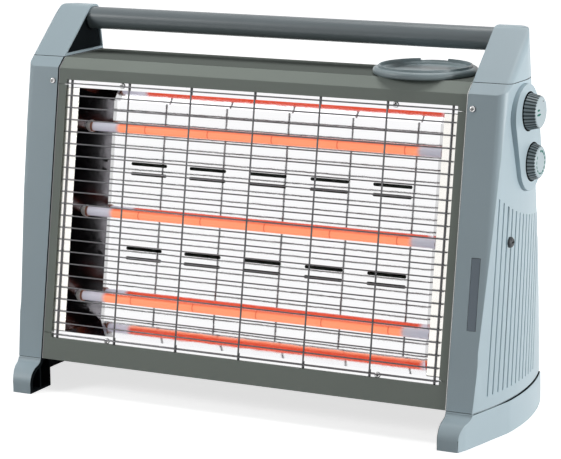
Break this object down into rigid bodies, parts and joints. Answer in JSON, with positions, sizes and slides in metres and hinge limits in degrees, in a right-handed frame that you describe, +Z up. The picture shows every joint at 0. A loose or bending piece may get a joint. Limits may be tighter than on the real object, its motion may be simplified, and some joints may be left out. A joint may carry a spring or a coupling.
{
  "type": "halogen heater",
  "caption": "Free-standing radiant heater: glowing quartz tubes before a bright reflector behind a wire guard, moulded ends on feet, carrying handle, side controls and a water tray.",
  "frame": {"origin": "middle of the overall box, on the floor", "axes": "+X to the right along the tubes when facing the radiant face, towards the side with the controls; -Y out of the radiant face; +Z up"},
  "size_m": [0.6016, 0.231, 0.423],
  "materials": {
    "housing_plastic": "satin",
    "knob_plastic": "satin",
    "body_paint": "satin",
    "handle_paint": "satin",
    "inner_steel": "plain",
    "reflector_sheet": "polished",
    "reflector_end_sheet": "polished",
    "quartz": "clear",
    "coil_wire": "glowing",
    "white_ceramic": "glazed ceramic",
    "brown_ring": "oxidised",
    "guard_wire": "bright",
    "bright_screw": "bright",
    "dark_screw": "black",
    "spindle_brass": "plain",
    "black_plastic": "plain",
    "pale_plastic": "plain",
    "lens_plastic": "clear",
    "lamp_glass": "clear",
    "tray_plastic": "satin"
  },
  "bodies": {
    "heater": {"left_end_housing": "housing_plastic", "right_end_housing": "housing_plastic", "left_handle_bracket": "housing_plastic", "right_handle_bracket": "housing_plastic", "left_foot": "housing_plastic", "right_foot": "housing_plastic", "control_bezel": "housing_plastic", "hood": "body_paint", "bottom_panel": "body_paint", "rear_panel": "body_paint", "left_side_strip": "body_paint", "right_side_strip": "body_paint", "handle_tube": "handle_paint", "left_end_plate": "inner_steel", "right_end_plate": "inner_steel", "upper_rail": "inner_steel", "lower_rail": "inner_steel", "reflector": "reflector_sheet", "left_reflector_end": "reflector_end_sheet", "right_reflector_end": "reflector_end_sheet", "quartz_tube_top": "quartz", "quartz_tube_middle": "quartz", "quartz_tube_bottom": "quartz", "heating_coil_top": "coil_wire", "heating_coil_middle": "coil_wire", "heating_coil_bottom": "coil_wire", "ceramic_ends": "white_ceramic", "tube_rings": "brown_ring", "wire_guard": "guard_wire", "guard_screws": "bright_screw", "post_screws": "bright_screw", "foot_screws": "bright_screw", "bracket_screws": "bright_screw", "rear_screws": "bright_screw", "bush_nuts": "bright_screw", "side_screws": "dark_screw", "left_bracket_cover": "black_plastic", "right_bracket_cover": "black_plastic", "selector_switch": "black_plastic", "thermal_cutout": "black_plastic", "cord_bush": "black_plastic", "thermostat_body": "pale_plastic", "tip_over_switch": "pale_plastic", "terminal_block": "pale_plastic", "indicator_lens": "lens_plastic", "indicator_lamp": "lamp_glass"},
    "selector": {"selector_knob": "knob_plastic", "selector_spindle": "spindle_brass"},
    "thermostat": {"thermostat_knob": "knob_plastic", "thermostat_spindle": "spindle_brass"},
    "tray": {"water_tray": "tray_plastic"}
  },
  "joints": [
    {"name": "selector_turn", "type": "hinge", "parent": "heater", "child": "selector", "pos_m": [0.2942, 0.0115, 0.338], "axis": [1, 0, 0], "range_deg": [0, 270]},
    {"name": "thermostat_turn", "type": "hinge", "parent": "heater", "child": "thermostat", "pos_m": [0.2942, 0.0235, 0.283], "axis": [1, 0, 0], "range_deg": [0, 270]},
    {"name": "tray_lift", "type": "slide", "parent": "heater", "child": "tray", "axis": [0, 0, 1], "range_m": [0, 0.013]}
  ]
}
